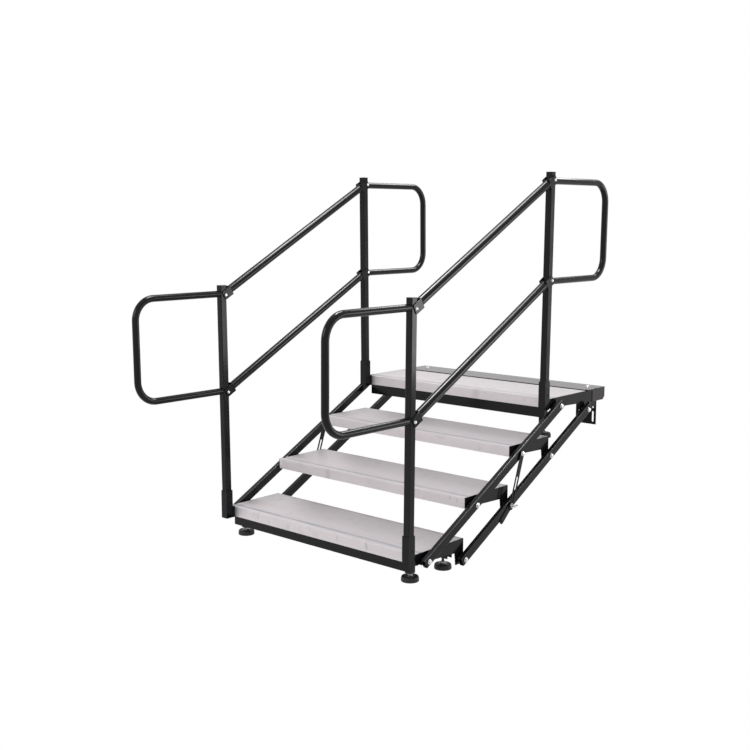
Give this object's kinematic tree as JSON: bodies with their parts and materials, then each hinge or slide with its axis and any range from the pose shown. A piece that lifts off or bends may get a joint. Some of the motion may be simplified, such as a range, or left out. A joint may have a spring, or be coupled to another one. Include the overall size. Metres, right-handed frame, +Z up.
{
  "type": "stage stairs",
  "caption": "Adjustable stage stairs with aluminium treads on folding links, handrails with end loops, levelling feet and a rear hook bar.",
  "frame": {"origin": "middle of the underside of the hook bar, where it rests on the stage", "axes": "+X to the right seen from the front, +Y from the first tread towards the stage, +Z up"},
  "size_m": [1.1818, 1.8339, 1.5663],
  "materials": {
    "black_powder": "gloss black powder coat",
    "mill_aluminium": "mill finish",
    "zinc_plate": "bright zinc plate",
    "black_rubber": "matt",
    "hook_plate": "brownish grey, satin"
  },
  "bodies": {
    "platform": {"platform_frame": "black_powder", "platform_tread": "mill_aluminium", "hook_bar": "hook_plate", "stage_bracket_left": "black_powder", "hook_bolt_left": "zinc_plate", "upper_post_left": "black_powder", "rail_bolt_top_upper_left": "zinc_plate", "rail_bolt_mid_upper_left": "zinc_plate", "front_bolt_4_left": "zinc_plate", "rear_bolt_4_left": "zinc_plate", "stage_bracket_right": "black_powder", "hook_bolt_right": "zinc_plate", "upper_post_right": "black_powder", "rail_bolt_top_upper_right": "zinc_plate", "rail_bolt_mid_upper_right": "zinc_plate", "front_bolt_4_right": "zinc_plate", "rear_bolt_4_right": "zinc_plate"},
    "base": {"base_frame": "black_powder", "base_tread": "mill_aluminium", "lower_post_left": "black_powder", "rail_bolt_top_lower_left": "zinc_plate", "rail_bolt_mid_lower_left": "zinc_plate", "front_bolt_1_left": "zinc_plate", "rear_bolt_1_left": "zinc_plate", "lower_post_right": "black_powder", "rail_bolt_top_lower_right": "zinc_plate", "rail_bolt_mid_lower_right": "zinc_plate", "front_bolt_1_right": "zinc_plate", "rear_bolt_1_right": "zinc_plate"},
    "step_2": {"step_2_frame": "black_powder", "step_2_tread": "mill_aluminium", "front_bolt_2_left": "zinc_plate", "rear_bolt_2_left": "zinc_plate", "front_bolt_2_right": "zinc_plate", "rear_bolt_2_right": "zinc_plate"},
    "step_3": {"step_3_frame": "black_powder", "step_3_tread": "mill_aluminium", "front_bolt_3_left": "zinc_plate", "rear_bolt_3_left": "zinc_plate", "front_bolt_3_right": "zinc_plate", "rear_bolt_3_right": "zinc_plate"},
    "front_link_left": {"front_link_left": "black_powder"},
    "rear_link_left": {"rear_link_left": "black_powder"},
    "upper_rail_left": {"upper_rail_left": "black_powder"},
    "lower_rail_left": {"lower_rail_left": "black_powder"},
    "brace_bar_left": {"brace_bar_left": "black_powder"},
    "brace_clamp_left": {"brace_tail_left": "black_powder", "wing_nut_left": "zinc_plate"},
    "front_link_right": {"front_link_right": "black_powder"},
    "rear_link_right": {"rear_link_right": "black_powder"},
    "upper_rail_right": {"upper_rail_right": "black_powder"},
    "lower_rail_right": {"lower_rail_right": "black_powder"},
    "brace_bar_right": {"brace_bar_right": "black_powder"},
    "brace_clamp_right": {"brace_tail_right": "black_powder", "wing_nut_right": "zinc_plate"},
    "foot_front_left": {"foot_front_left": "black_rubber"},
    "foot_front_right": {"foot_front_right": "black_rubber"},
    "foot_rear_left": {"foot_rear_left": "black_rubber"},
    "foot_rear_right": {"foot_rear_right": "black_rubber"},
    "foot_platform": {"foot_platform": "black_rubber"}
  },
  "joints": [
    {"name": "fold", "type": "hinge", "parent": "platform", "child": "front_link_right", "pos_m": [0.552, -0.373, -0.0305], "axis": [1, 0, 0], "range_deg": [-28, 0.5]},
    {"name": "front_link_left_hinge", "type": "hinge", "parent": "platform", "child": "front_link_left", "pos_m": [-0.552, -0.373, -0.0305], "axis": [1, 0, 0], "range_deg": [-28.2, 0.7]},
    {"name": "rear_link_left_hinge", "type": "hinge", "parent": "platform", "child": "rear_link_left", "pos_m": [-0.552, -0.147, -0.0765], "axis": [1, 0, 0], "range_deg": [-28.2, 0.7]},
    {"name": "upper_rail_left_hinge", "type": "hinge", "parent": "platform", "child": "upper_rail_left", "pos_m": [-0.52755, -0.4365, 0.928], "axis": [1, 0, 0], "range_deg": [-28.2, 0.7]},
    {"name": "lower_rail_left_hinge", "type": "hinge", "parent": "platform", "child": "lower_rail_left", "pos_m": [-0.52318, -0.4365, 0.5105], "axis": [1, 0, 0], "range_deg": [-28.2, 0.7]},
    {"name": "rear_link_right_hinge", "type": "hinge", "parent": "platform", "child": "rear_link_right", "pos_m": [0.552, -0.147, -0.0765], "axis": [1, 0, 0], "range_deg": [-28.2, 0.7]},
    {"name": "upper_rail_right_hinge", "type": "hinge", "parent": "platform", "child": "upper_rail_right", "pos_m": [0.52755, -0.4365, 0.928], "axis": [1, 0, 0], "range_deg": [-28.2, 0.7]},
    {"name": "lower_rail_right_hinge", "type": "hinge", "parent": "platform", "child": "lower_rail_right", "pos_m": [0.52318, -0.4365, 0.5105], "axis": [1, 0, 0], "range_deg": [-28.2, 0.7]},
    {"name": "step_3_hinge", "type": "hinge", "parent": "front_link_right", "child": "step_3", "pos_m": [0.552, -0.67127, -0.19056], "axis": [1, 0, 0], "range_deg": [-0.7, 28.2]},
    {"name": "step_2_hinge", "type": "hinge", "parent": "front_link_right", "child": "step_2", "pos_m": [0.552, -0.96953, -0.35063], "axis": [1, 0, 0], "range_deg": [-0.7, 28.2]},
    {"name": "base_hinge", "type": "hinge", "parent": "front_link_right", "child": "base", "pos_m": [0.552, -1.2678, -0.51069], "axis": [1, 0, 0], "range_deg": [-0.7, 28.2]},
    {"name": "brace_left_hinge", "type": "hinge", "parent": "front_link_left", "child": "brace_bar_left", "pos_m": [-0.5671, -0.67127, -0.19056], "axis": [1, 0, 0], "range_deg": [-14.2, 0.4]},
    {"name": "brace_left_clamp_slide", "type": "slide", "parent": "brace_bar_left", "child": "brace_clamp_left", "axis": [0, -0.3309, -0.9437], "range_m": [-0.1005, 0.003]},
    {"name": "brace_right_hinge", "type": "hinge", "parent": "front_link_right", "child": "brace_bar_right", "pos_m": [0.5671, -0.67127, -0.19056], "axis": [1, 0, 0], "range_deg": [-14.2, 0.4]},
    {"name": "brace_right_clamp_slide", "type": "slide", "parent": "brace_bar_right", "child": "brace_clamp_right", "axis": [0, -0.3309, -0.9437], "range_m": [-0.1005, 0.003]},
    {"name": "foot_front_left_screw", "type": "slide", "parent": "base", "child": "foot_front_left", "axis": [0, 0, 1], "range_m": [-0.02, 0]},
    {"name": "foot_front_right_screw", "type": "slide", "parent": "base", "child": "foot_front_right", "axis": [0, 0, 1], "range_m": [-0.02, 0]},
    {"name": "foot_rear_left_screw", "type": "slide", "parent": "base", "child": "foot_rear_left", "axis": [0, 0, 1], "range_m": [-0.02, 0.014]},
    {"name": "foot_rear_right_screw", "type": "slide", "parent": "base", "child": "foot_rear_right", "axis": [0, 0, 1], "range_m": [-0.02, 0.014]},
    {"name": "foot_platform_screw", "type": "slide", "parent": "platform", "child": "foot_platform", "axis": [0, 0, 1], "range_m": [-0.02, 0.012]}
  ],
  "couplings": [
    {"joint": "front_link_left_hinge", "follows": "fold", "ratio": 1},
    {"joint": "rear_link_left_hinge", "follows": "fold", "ratio": 1},
    {"joint": "upper_rail_left_hinge", "follows": "fold", "ratio": 1},
    {"joint": "lower_rail_left_hinge", "follows": "fold", "ratio": 1},
    {"joint": "rear_link_right_hinge", "follows": "fold", "ratio": 1},
    {"joint": "upper_rail_right_hinge", "follows": "fold", "ratio": 1},
    {"joint": "lower_rail_right_hinge", "follows": "fold", "ratio": 1},
    {"joint": "step_3_hinge", "follows": "fold", "ratio": -1},
    {"joint": "step_2_hinge", "follows": "fold", "ratio": -1},
    {"joint": "base_hinge", "follows": "fold", "ratio": -1},
    {"joint": "brace_left_hinge", "follows": "fold", "ratio": 0.5},
    {"joint": "brace_left_clamp_slide", "follows": "fold", "m_per_rad": 0.203},
    {"joint": "brace_right_hinge", "follows": "fold", "ratio": 0.5},
    {"joint": "brace_right_clamp_slide", "follows": "fold", "m_per_rad": 0.203}
  ]
}
